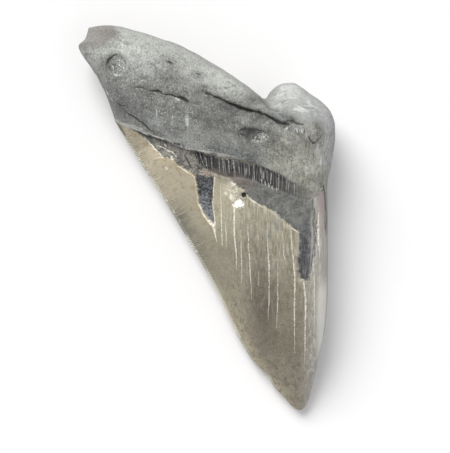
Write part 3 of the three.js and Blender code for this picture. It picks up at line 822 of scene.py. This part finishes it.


# Enamel: olive, tan at the shoulder and darker down the middle, with upright streaks, growth lines that
# slant in from the cutting edge, and pale ticks of painted highlight on the saw teeth, between their
# grooves.
def enamelCoat(skin):
    e, x, y, edgeGap = enamelFinish, skin.x, skin.y, skin.edgeGap
    fine, medium, broad, streak, thinStreak = skin.fine, skin.medium, skin.broad, skin.streak, skin.thinStreak
    colour = paint(ease(y, 3.0, -13.0), e["olive"], e["middle"])
    colour = paint(ease(y, -22.0, -38.0), colour, e["deep"])
    colour = paint(ease(y, -40.0, -52.0), colour, e["point"])
    colour = paint(both(ease(x, 12.0, -14.0), ease(y, -8.0, 18.0)), colour, e["tan"])
    shade = both(ease(edgeGap, 13.0, 4.0), ease(y, 9.0, -3.0), ease(y, -28.0, -14.0))
    colour = paint(both(shade, 0.85), colour, e["shade"])
    colour = paint(both(ease(edgeGap, 9.0, 3.0), ease(y, -12.0, -30.0), 0.8), colour, e["sand"])
    core = both(spot(skin.flat, "core"), ease(streak, 0.36, 0.56, 0.35, 0.9))
    colour = paint(core, colour, e["core"])
    colour = paint(ease(broad, 0.44, 0.66, 0, 0.4), colour, e["olive"])
    colour = paint(ease(medium, 0.5, 0.68, 0, 0.5), colour, e["deep"])
    mottle = both(ease(y, -18.0, -30.0), ease(medium, 0.5, 0.62, 0, 0.6), ease(streak, 0.42, 0.6, 0.2, 1.0))
    colour = paint(mottle, colour, e["dark"])
    streaky = both(ease(x, -6.0, 12.0), ease(thinStreak, 0.5, 0.66, 0, 0.5))
    colour = paint(streaky, colour, e["dark"])
    streaky = both(ease(x, 6.0, 16.0), ease(y, -24.0, -8.0), ease(thinStreak, 0.47, 0.34, 0, 0.35))
    colour = paint(streaky, colour, e["haze"])
    streaky = both(ease(x, 2.0, 14.0), ease(y, -40.0, -14.0), ease(streak, 0.54, 0.38, 0, 0.4))
    colour = paint(streaky, colour, e["grey"])
    edgeward = vectorCalc("DOT_PRODUCT", skin.place, (-0.5, 0.86, 0))
    inward = vectorCalc("DOT_PRODUCT", skin.place, (0.86, 0.5, 0))
    slanted = addNode("ShaderNodeCombineXYZ")
    feed(slanted.inputs[0], edgeward)
    feed(slanted.inputs[1], calc("MULTIPLY", inward, 0.13))
    growth = cloud(slanted.outputs[0], "growth")
    growthMask = both(ease(edgeGap, 13.0, 5.0), ease(y, -20.0, 6.0))
    colour = paint(both(growthMask, ease(growth, 0.5, 0.64, 0, 0.5)), colour, e["haze"])
    colour = paint(both(growthMask, ease(growth, 0.46, 0.32, 0, 0.27)), colour, e["core"])
    calm = ease(y, -53.0, -42.0, 0.35, 1.0)
    colour = paint(both(ease(fine, 0.5, 0.72, 0.0, 0.35), calm), colour, e["dark"])
    colour = paint(ease(fine, 0.46, 0.28, 0.0, 0.3), colour, e["haze"])
    edgeShare = both(ease(edgeGap, 2.8, 1.2), ease(medium, 0.35, 0.55, 0.4, 0.9))
    colour = paint(edgeShare, colour, e["edge"])
    # painted highlight: pale ticks on the crests of the saw teeth
    tick = both(ease(reading("tick"), 0.25, 0.7), ease(broad, 0.4, 0.54, 0.5, 1.0))
    return paint(tick, colour, e["veinAndHighlight"])


# Broken side: pale torn enamel towards the break, lilac high up, and a fibrous grey fracture on the steep
# part.
def brokenCoat(skin, colour):
    e, d, x, y = enamelFinish, dentineFinish, skin.x, skin.y
    sideShare = both(ease(x, 28.5, 34.5), ease(y, 12.0, 0.0))
    torn = paint(ease(skin.thinStreak, 0.34, 0.58), e["sideDark"], e["side"])
    torn = paint(ease(y, -12.0, 2.0, 0, 0.5), torn, e["lilac"])
    colour = paint(both(sideShare, ease(skin.streak, 0.36, 0.56, 1.0, 0.5)), colour, torn)
    breakEdge = calc("ADD", reading("breakSide"), swing(skin.streak, 0.8))
    breakShare = ease(breakEdge, 0.0, 0.5)
    colour = paint(both(breakShare, 0.85), colour, torn)
    gleam = both(ease(x, 33.6, 35.6), ease(y, -16.0, -24.0), ease(y, -50.0, -38.0))
    colour = paint(both(gleam, 0.85), colour, e["gleam"])
    colour = paint(both(spot(skin.flat, "pink"), 0.8), colour, e["pink"])
    rind = both(ease(x, 36.2, 36.8), ease(y, -6.0, 0.0), ease(skin.streak, 0.62, 0.4))
    colour = paint(rind, colour, e["rind"])
    torn = paint(ease(skin.thinStreak, 0.38, 0.6), d["fractureDark"], d["fracture"])
    torn = paint(ease(skin.fine, 0.5, 0.66, 0.0, 0.35), torn, d["dark"])
    torn = paint(ease(skin.medium, 0.46, 0.6, 0.0, 0.5), torn, d["worn"])
    outward = both(ease(skin.steep, 0.55, 0.9), ease(x, 27.0, 31.0))
    return paint(outward, colour, torn)


# Bare dentine: mottled grey, brownish at its upper corner, blue and streaked down its tail, with a pale rim.
def dentineCoat(skin, colour):
    e, d, x, y = enamelFinish, dentineFinish, skin.x, skin.y
    fine, medium, facing = skin.fine, skin.medium, skin.facing
    skin.edgeNoise = swing(fine, 0.7)
    bare = calc("ADD", reading("bareSide"), skin.edgeNoise)
    ripped = calc("MULTIPLY", swing(skin.streak, 3.5), ease(x, 31.0, 33.0))
    bare = calc("ADD", bare, ripped)
    skin.bareShare = both(ease(bare, 0.0, 0.4), facing)
    rimShare = both(ease(bare, -1.7, -0.1), ease(bare, 0.3, 0.0), facing, ease(medium, 0.4, 0.6),
                    ease(x, 31.5, 29.5), ease(x, 9.0, 12.0))
    colour = paint(both(rimShare, 0.4), colour, e["haze"])
    dentine = paint(ease(y, 2.0, -7.0), d["grey"], d["blue"])
    dentine = paint(ease(medium, 0.45, 0.62, 0.0, 0.6), dentine, d["light"])
    dentine = paint(both(spot(skin.flat, "brownish"), 0.85), dentine, d["brownish"])
    dentine = paint(ease(medium, 0.46, 0.34, 0.0, 0.45), dentine, d["dark"])
    dentine = paint(ease(fine, 0.5, 0.64, 0.0, 0.55), dentine, d["dark"])
    dentine = paint(ease(fine, 0.46, 0.33, 0.0, 0.6), dentine, d["light"])
    darkStreak = both(ease(y, 0.0, -8.0), ease(skin.thinStreak, 0.42, 0.56, 0.75, 0.0))
    dentine = paint(darkStreak, dentine, d["dark"])
    paleStreak = both(ease(x, 31.2, 33.5), ease(skin.streak, 0.45, 0.6, 0.0, 0.7))
    dentine = paint(paleStreak, dentine, e["side"])
    colour = paint(skin.bareShare, colour, dentine)
    fringe = both(ease(reading("bandSide"), -2.8, -0.2), ease(x, 1.0, 3.0), ease(x, 13.0, 9.0),
                  ease(medium, 0.35, 0.6, 0.3, 1.0), facing)
    return paint(both(fringe, 0.8), colour, d["fringe"])


def chipCoat(skin, colour):  # dark crumbly chip, with a brown film above it and an amber edge
    e, d, x, y = enamelFinish, dentineFinish, skin.x, skin.y
    fine, medium, place = skin.fine, skin.medium, skin.place
    chip = calc("ADD", reading("chipSide"), skin.edgeNoise)
    skin.chipShare = both(ease(chip, 0.0, 0.35), skin.facing)
    bent = vectorCalc("ADD", place, scaledVector(place, calc("MULTIPLY", fine, 0.02)))
    skin.crumbs = crumbs = specks(bent, 1.5)
    filling = paint(ease(y, 9.0, 2.0), d["dark"], d["chip"])
    filling = paint(both(ease(medium, 0.46, 0.58), ease(y, 12.0, 5.0, 0.25, 1.0)), filling, d["chip"])
    crumbShare = both(ease(crumbs, 0.36, 0.16), ease(fine, 0.44, 0.54, 0.0, 0.6))
    filling = paint(crumbShare, filling, d["crumb"])
    filling = paint(ease(crumbs, 0.5, 0.75, 0.0, 0.7), filling, d["dark"])
    brown = calc("ADD", reading("brownSide"), skin.edgeNoise)
    film = paint(ease(fine, 0.42, 0.6), d["brown"], d["film"])
    film = paint(ease(crumbs, 0.34, 0.14, 0.0, 0.8), film, d["crumb"])
    film = paint(ease(crumbs, 0.5, 0.7, 0.0, 0.7), film, d["wornDark"])
    filling = paint(ease(brown, -0.2, 0.5, 0.0, 0.85), filling, film)
    amber = both(ease(chip, -3.2, -0.4), ease(chip, 0.1, -0.3), ease(x, 3.0, -1.0), ease(medium, 0.42, 0.6),
                 skin.facing)
    colour = paint(both(amber, 0.35), colour, e["amber"])
    return paint(skin.chipShare, colour, filling)


def wornCoat(skin, colour):  # worn strip below the left half of the gum line
    e, d, fine, medium, facing = enamelFinish, dentineFinish, skin.fine, skin.medium, skin.facing
    worn = calc("ADD", reading("wornSide"), skin.edgeNoise)
    skin.wornShare = both(ease(worn, 0.0, 0.35), facing)
    amber = both(ease(worn, -1.6, -0.3), ease(worn, 0.1, -0.2), ease(medium, 0.4, 0.58), facing)
    colour = paint(both(amber, ease(skin.x, -2.0, -8.0), 0.45), colour, e["amber"])
    strip = paint(ease(medium, 0.4, 0.6), d["worn"], d["wornDark"])
    strip = paint(both(ease(skin.crumbs, 0.36, 0.14), 0.7), strip, d["wornPale"])
    strip = paint(ease(fine, 0.5, 0.62, 0.0, 0.7), strip, d["wornBlack"])
    return paint(skin.wornShare, colour, strip)


# Root: grey, paler towards its top and on the short lobe, partly as painted light on the ridge, browner
# and fibrous below that, all over with grain, and with a worn corner, dark cracks, sparkle in both pits, a
# pale line of painted highlight along the lip, a painted highlight along its right edge, and painted shade
# in its hollows, in the valley below the notch and on its steep faces.
def rootCoat(skin, colour):
    r, x, y, place, flat = rootFinish, skin.x, skin.y, skin.place, skin.flat
    fine, medium, streak, facing = skin.fine, skin.medium, skin.streak, skin.facing
    gumRagged = calc("ADD", reading("gumSide"), swing(fine, 0.25))
    coarse = calc("MULTIPLY", swing(medium, 4.5), ease(skin.steep, 0.35, 0.7))
    skin.rootShare = ease(calc("ADD", gumRagged, coarse), 0.0, 0.25)
    grain = cloud(stretched(place, "grain"), "grain")
    fibre = cloud(stretched(place, "fibre"), "fibre")
    blotch = cloud(place, "blotch")
    rise = calc("ADD", reading("rise"), swing(medium, 0.15))
    lipTone = paint(ease(x, -7.0, 3.0), r["lip"], r["shadow"])
    # darker low down and paler up on the ridge: partly the root's own tone, partly painted light from above
    root = paint(ease(rise, 0.06, 0.26), lipTone, r["low"])
    root = paint(ease(rise, 0.48, 0.7), root, r["ridge"])
    root = paint(both(ease(x, 16.0, 23.0), ease(y, 27.0, 33.0)), root, r["knob"])
    flank = both(ease(x, 13.0, 24.0), ease(y, 31.0, 25.0))
    root = paint(both(flank, 0.85), root, r["brown"])
    root = paint(ease(skin.broad, 0.42, 0.6, 0.0, 0.4), root, r["ridge"])
    bright = calc("MAXIMUM", spot(flat, "brightEnd"), spot(flat, "brightLobe"))
    bright = calc("MAXIMUM", bright, spot(flat, "brightLip"))
    root = paint(both(bright, 0.5), root, r["knob"])
    # painted shade in the valley below the notch, and a darker middle
    dim = calc("MAXIMUM", spot(flat, "dimValley"), spot(flat, "dimMiddle"))
    root = paint(both(dim, 0.6), root, r["dark"])
    # painted highlight along the root's right edge, where it rounds off
    rightEdgeHighlight = both(ease(x, 34.8, 37.5), ease(y, 14.0, 18.0), ease(streak, 0.34, 0.5, 0.5, 1.0))
    root = paint(rightEdgeHighlight, root, r["rim"])
    patchy = both(ease(blotch, 0.5, 0.62, 0.0, 0.45), ease(rise, 0.95, 0.5, 0.3, 1.0), ease(x, 28.0, 23.0))
    root = paint(patchy, root, r["dark"])
    root = paint(ease(blotch, 0.45, 0.34, 0.0, 0.2), root, r["ridge"])
    lengthwise = addNode("ShaderNodeCombineXYZ")
    feed(lengthwise.inputs[0], calc("MULTIPLY", vectorCalc("DOT_PRODUCT", place, (0.9, -0.42, 0)), 0.3))
    feed(lengthwise.inputs[1], vectorCalc("DOT_PRODUCT", place, (0.42, 0.9, 0)))
    wrinkle = cloud(lengthwise.outputs[0], "wrinkle")
    smooth = ease(both(ease(x, 18.0, 23.0), ease(y, 27.0, 31.0)), 0.0, 1.0, 1.0, 0.35)
    root = paint(both(smooth, ease(wrinkle, 0.54, 0.68, 0.0, 0.5)), root, r["dark"])
    root = paint(ease(reading("darkGap"), 3.0, 0.2, 0.0, 0.4), root, r["dark"])
    root = paint(both(smooth, ease(grain, 0.51, 0.63, 0.0, 0.6)), root, r["dark"])
    root = paint(ease(grain, 0.48, 0.36, 0.0, 0.68), root, r["pale"])
    fibrous = ease(flank, 0.0, 1.0, 0.3, 1.0)
    root = paint(both(fibrous, ease(fibre, 0.52, 0.66, 0.0, 0.6)), root, r["dark"])
    root = paint(both(fibrous, ease(fibre, 0.47, 0.34, 0.0, 0.42)), root, r["pale"])
    root = paint(both(flank, ease(medium, 0.5, 0.62, 0.0, 0.45)), root, r["low"])
    root = paint(both(flank, ease(medium, 0.47, 0.38, 0.0, 0.5)), root, r["pale"])
    glint = both(ease(fine, 0.58, 0.66), ease(medium, 0.5, 0.58, 0.0, 0.75), ease(rise, 0.7, 0.5))
    root = paint(glint, root, r["glint"])
    corner = calc("ADD", reading("facetSide"), swing(medium, 1.5))
    corner = both(ease(corner, -1.2, 1.4), facing)
    endTone = paint(ease(medium, 0.42, 0.6), r["end"], r["endBrown"])
    endTone = paint(ease(grain, 0.52, 0.64, 0.0, 0.5), endTone, r["dark"])
    root = paint(both(corner, ease(fine, 0.3, 0.6, 0.95, 0.6)), root, endTone)
    sand = both(ease(skin.edgeGap, 4.0, 0.5), ease(y, 53.5, 51.5), ease(y, 40.0, 46.0), facing)
    root = paint(both(sand, ease(fine, 0.48, 0.56, 0.1, 0.8)), root, r["pale"])
    # painted shade: darker where the surface is sunk deep, in the cracks, pits and hollows
    root = paint(ease(reading("relief"), -0.4, -1.3, 0.0, 0.6), root, r["crack"])
    sparkle = calc("MAXIMUM", spot(flat, "craterSparkle"), spot(flat, "pitSparkle"))
    sparkle = both(sparkle, ease(cloud(place, "crumble"), 0.5, 0.57, 0.0, 0.85), facing)
    root = paint(sparkle, root, r["sparkle"])
    knobStreak = both(ease(x, 18.0, 23.0), ease(y, 30.0, 34.0),
                      ease(cloud(stretched(place, "knob"), "knob"), 0.5, 0.62))
    root = paint(both(knobStreak, 0.6), root, r["streak"])
    # painted shade: steep faces darker
    root = paint(ease(skin.steep, 0.4, 0.85, 0.0, 0.6), root, r["low"])
    # painted highlight: a pale line along the lip
    lipHighlight = both(ease(gumRagged, 1.1, 0.6), ease(fine, 0.36, 0.5, 0.2, 1.0), ease(x, 14.0, 2.0), facing)
    root = paint(both(lipHighlight, 0.8), root, r["glint"])
    skin.grain, skin.fibre, skin.wrinkle, skin.fibrous, skin.corner = grain, fibre, wrinkle, fibrous, corner
    return paint(skin.rootShare, colour, root)


# Dark band: upright cells with pale seams between them, brown along its lower left
def bandCoat(skin, colour):
    d, x = dentineFinish, skin.x
    seams = addNode("ShaderNodeTexVoronoi", feature="DISTANCE_TO_EDGE", voronoi_dimensions="2D")
    seams.inputs["Scale"].default_value = 1.0
    feed(seams.inputs["Vector"], stretched(skin.place, "cells"))
    comb = cloud(stretched(skin.place, "comb"), "comb")
    seam = both(ease(seams.outputs["Distance"], 0.12, 0.03), ease(comb, 0.36, 0.56, 0.1, 1.0))
    ragged = calc("MULTIPLY_ADD", comb, 4.0, -2.1)
    ragged = both(ragged, ease(x, 0.0, 20.0, 0.35, 0.75))
    bandShare = ease(calc("ADD", reading("bandSide"), ragged), 0.0, 0.45)
    skin.bandShare = both(bandShare, ease(x, 23.0, 33.0, 1.0, 0.35))
    band = paint(ease(comb, 0.42, 0.58), d["band"], d["black"])
    band = paint(ease(x, 19.0, 28.0, 0.0, 0.45), band, d["grey"])
    skin.seam = both(seam, ease(x, 3.0, 12.0, 0.35, 1.0))
    lower = both(ease(reading("gumSide"), -2.8, -5.4), ease(x, 16.0, 9.0), 0.6)
    band = paint(lower, band, d["fringe"])
    band = paint(both(skin.seam, 0.85), band, d["stria"])
    return paint(skin.bandShare, colour, band)


# Marks over everything: pale edges, veins and scrapes, white flecks and the white chip beside the hole, dark
# cracks with a painted shadow in the crater, the hole, and last the lighter and darker places, some of them
# painted light and shade.
def markCoat(skin, colour):
    e, r, flat, facing = enamelFinish, rootFinish, skin.flat, skin.facing
    fine, medium = skin.fine, skin.medium
    beads = cloud(stretched(skin.place, "beads"), "beads")
    dashes = both(ease(fine, 0.36, 0.5, 0.5, 1.0), ease(beads, 0.4, 0.54, 0.35, 1.0))
    wobble = swing(fine, 1.8)
    veins = calc("MAXIMUM", *(strokeShare(kind, wobble) for kind in ("pale0", "pale1")))
    skin.pale = both(veins, dashes, facing)
    haze = both(spot(flat, "haze"), 0.6, calc("SUBTRACT", 1.0, skin.bareShare), facing)
    colour = paint(both(haze, ease(medium, 0.4, 0.56, 0.1, 0.9)), colour, e["haze"])
    flecks = both(haze, ease(skin.x, 5.5, 8.0), ease(fine, 0.52, 0.6), ease(medium, 0.44, 0.54))
    colour = paint(flecks, colour, e["fleck"])
    paleTone = paint(calc("MAXIMUM", skin.rootShare, skin.bandShare), e["veinAndHighlight"], r["scrape"])
    colour = paint(both(skin.pale, 0.92), colour, paleTone)
    chipWobble = swing(fine, 1.3)
    whiteChip = calc("ADD", spot(flat, "whiteChip"), chipWobble)
    whiteChip = both(ease(whiteChip, 0.42, 0.55), spot(flat, "chipRoom"))
    colour = paint(both(whiteChip, facing), colour, e["white"])
    # dark cracks, and the painted shadow in the crater
    skin.darkShare = both(strokeShare("dark", wobble), ease(fine, 0.34, 0.5, 0.35, 1.0), facing)
    colour = paint(both(skin.darkShare, 0.85), colour, r["crack"])
    colour = paint(both(spot(flat, "hole"), facing), colour, dentineFinish["hole"])
    # lighter and darker places from the patches: partly painted light and shade, partly the tooth's own tone
    return scaledVector(colour, calc("POWER", 2.0, reading("patch")))


def skinRoughness(skin):
    rough = calc("MAXIMUM", skin.bareShare, calc("MAXIMUM", skin.chipShare, skin.wornShare))
    roughness = ease(rough, 0.0, 1.0, enamelFinish["roughness"], dentineFinish["roughness"])
    roughness = ease(skin.rootShare, 0.0, 1.0, roughness, rootFinish["roughness"])
    return calc("ADD", roughness, swing(skin.medium, 0.08))


def skinBump(skin):  # fine relief: grit on the root, crumbs, seams of the band, veins and cracks
    grit = calc("ADD", both(skin.fibre, skin.fibrous, 0.8), skin.grain)
    grit = calc("ADD", grit, calc("MULTIPLY", skin.wrinkle, 0.6))
    grit = calc("MULTIPLY", grit, calc("SUBTRACT", 1.0, calc("MULTIPLY", skin.corner, 0.7)))
    rootHeight = both(grit, skin.rootShare, -1.0)
    crumbly = calc("MAXIMUM", skin.chipShare, skin.wornShare)
    crumbHeight = both(calc("SUBTRACT", skin.fine, skin.crumbs), crumbly, 0.9)
    crumbHeight = calc("ADD", crumbHeight, both(skin.fine, skin.bareShare, 0.12))
    combHeight = both(skin.seam, skin.bandShare, 0.7)
    crownHeight = calc("ADD", calc("MULTIPLY", skin.fine, -0.12), calc("MULTIPLY", skin.streak, 0.15))
    crownHeight = calc("SUBTRACT", crownHeight, calc("MULTIPLY", skin.pale, 0.2))
    height = calc("ADD", calc("ADD", rootHeight, crumbHeight), calc("ADD", combHeight, crownHeight))
    height = calc("SUBTRACT", height, calc("MULTIPLY", skin.darkShare, 0.8))
    bump = addNode("ShaderNodeBump")
    bump.inputs["Strength"].default_value = 0.8
    bump.inputs["Distance"].default_value = 0.6 * metre
    feed(bump.inputs["Height"], height)
    return bump.outputs["Normal"]


# The whole skin: enamel, then the broken side, bare dentine, chip and worn strip, the root and the band over
# those, and fine marks on top, each masked by its signed distance with fine noise added.
def skinMaterial():
    material = bpy.data.materials.new("fossilSkin")
    material.use_nodes = True
    openTree(material.node_tree)
    nodeTree.nodes.clear()
    skin = skinFields()
    colour = enamelCoat(skin)
    for coat in (brokenCoat, dentineCoat, chipCoat, wornCoat, rootCoat, bandCoat, markCoat):
        colour = coat(skin, colour)
    roughness = skinRoughness(skin)
    normal = skinBump(skin)
    shader = addNode("ShaderNodeBsdfPrincipled")
    shader.inputs["IOR"].default_value = 1.5
    feed(shader.inputs["Base Color"], colour)
    feed(shader.inputs["Roughness"], roughness)
    feed(shader.inputs["Normal"], normal)
    feed(addNode("ShaderNodeOutputMaterial").inputs["Surface"], shader.outputs[0])
    return material


toothObject.data.materials.append(skinMaterial())
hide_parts("tooth")
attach(toothObject, "root")
print("tooth: skin painted")

studio = {
    "cameraHeight": 420, "aim": (5.8, -3.0), "viewHeight": 145, "viewDistance": 414, "sensor": 36,
    "floorSize": 30.0, "floorTone": (0.86, 0.86, 0.87, 1.0),
    "skyOverhead": 0.38, "skyAtHorizon": 0.88, "skyFade": (0.2, 0.6),    # the sky is brightest low down
    "keyFrom": (-0.4, 0.75, 0.75), "keyStrength": 3.05, "keySpread": 40, "keyTone": (1.0, 0.985, 0.96),
    "fillFrom": (0.6, -0.5, 0.8), "fillStrength": 0.45, "fillSpread": 60, "fillTone": (0.96, 0.97, 1.0),
}


def plainMaterial(name, colour, roughness):
    material = bpy.data.materials.new(name)
    material.use_nodes = True
    shader = material.node_tree.nodes["Principled BSDF"]
    shader.inputs["Base Color"].default_value = colour
    shader.inputs["Roughness"].default_value = roughness
    return material


def addFloor():
    half = studio["floorSize"] / 2
    mesh = bpy.data.meshes.new("floor")
    corners = [(-half, -half, 0), (half, -half, 0), (half, half, 0), (-half, half, 0)]
    mesh.from_pydata(corners, [], [(0, 1, 2, 3)])
    mesh.materials.append(plainMaterial("paleTable", studio["floorTone"], 0.9))
    floor = bpy.data.objects.new("floor", mesh)
    bpy.context.scene.collection.objects.link(floor)


def addLight(name, source, strength, spread, colour):  # far away and broad, so that its shadows are soft
    lamp = bpy.data.lights.new(name, "SUN")
    lamp.energy = strength
    lamp.angle = math.radians(spread)
    lamp.color = colour
    light = bpy.data.objects.new(name, lamp)
    light.location = source
    light.rotation_euler = light.location.to_track_quat("Z", "Y").to_euler()
    bpy.context.scene.collection.objects.link(light)


def addCamera():
    lens = studio["sensor"] * studio["viewDistance"] / studio["viewHeight"]
    data = bpy.data.cameras.new("camera")
    data.sensor_width = studio["sensor"]
    data.lens = lens
    camera = bpy.data.objects.new("camera", data)
    place = np.array([studio["aim"][0], studio["aim"][1], studio["cameraHeight"]]) + shift
    camera.location = tuple(place * metre)
    bpy.context.scene.collection.objects.link(camera)
    bpy.context.scene.camera = camera


def setSky():
    world = bpy.data.worlds.new("studio")
    world.use_nodes = True
    openTree(world.node_tree)
    split = addNode("ShaderNodeSeparateXYZ")
    feed(split.inputs[0], addNode("ShaderNodeTexCoord").outputs["Generated"])
    strength = ease(split.outputs["Z"], *studio["skyFade"], studio["skyAtHorizon"], studio["skyOverhead"])
    background = nodeTree.nodes["Background"]
    background.inputs["Color"].default_value = (1.0, 1.0, 1.0, 1.0)
    feed(background.inputs["Strength"], strength)
    bpy.context.scene.world = world
    bpy.context.scene.view_settings.view_transform = "Standard"


addFloor()
addLight("key", studio["keyFrom"], studio["keyStrength"], studio["keySpread"], studio["keyTone"])
addLight("fill", studio["fillFrom"], studio["fillStrength"], studio["fillSpread"], studio["fillTone"])
addCamera()
setSky()
print("tooth: table, lights and camera in place")
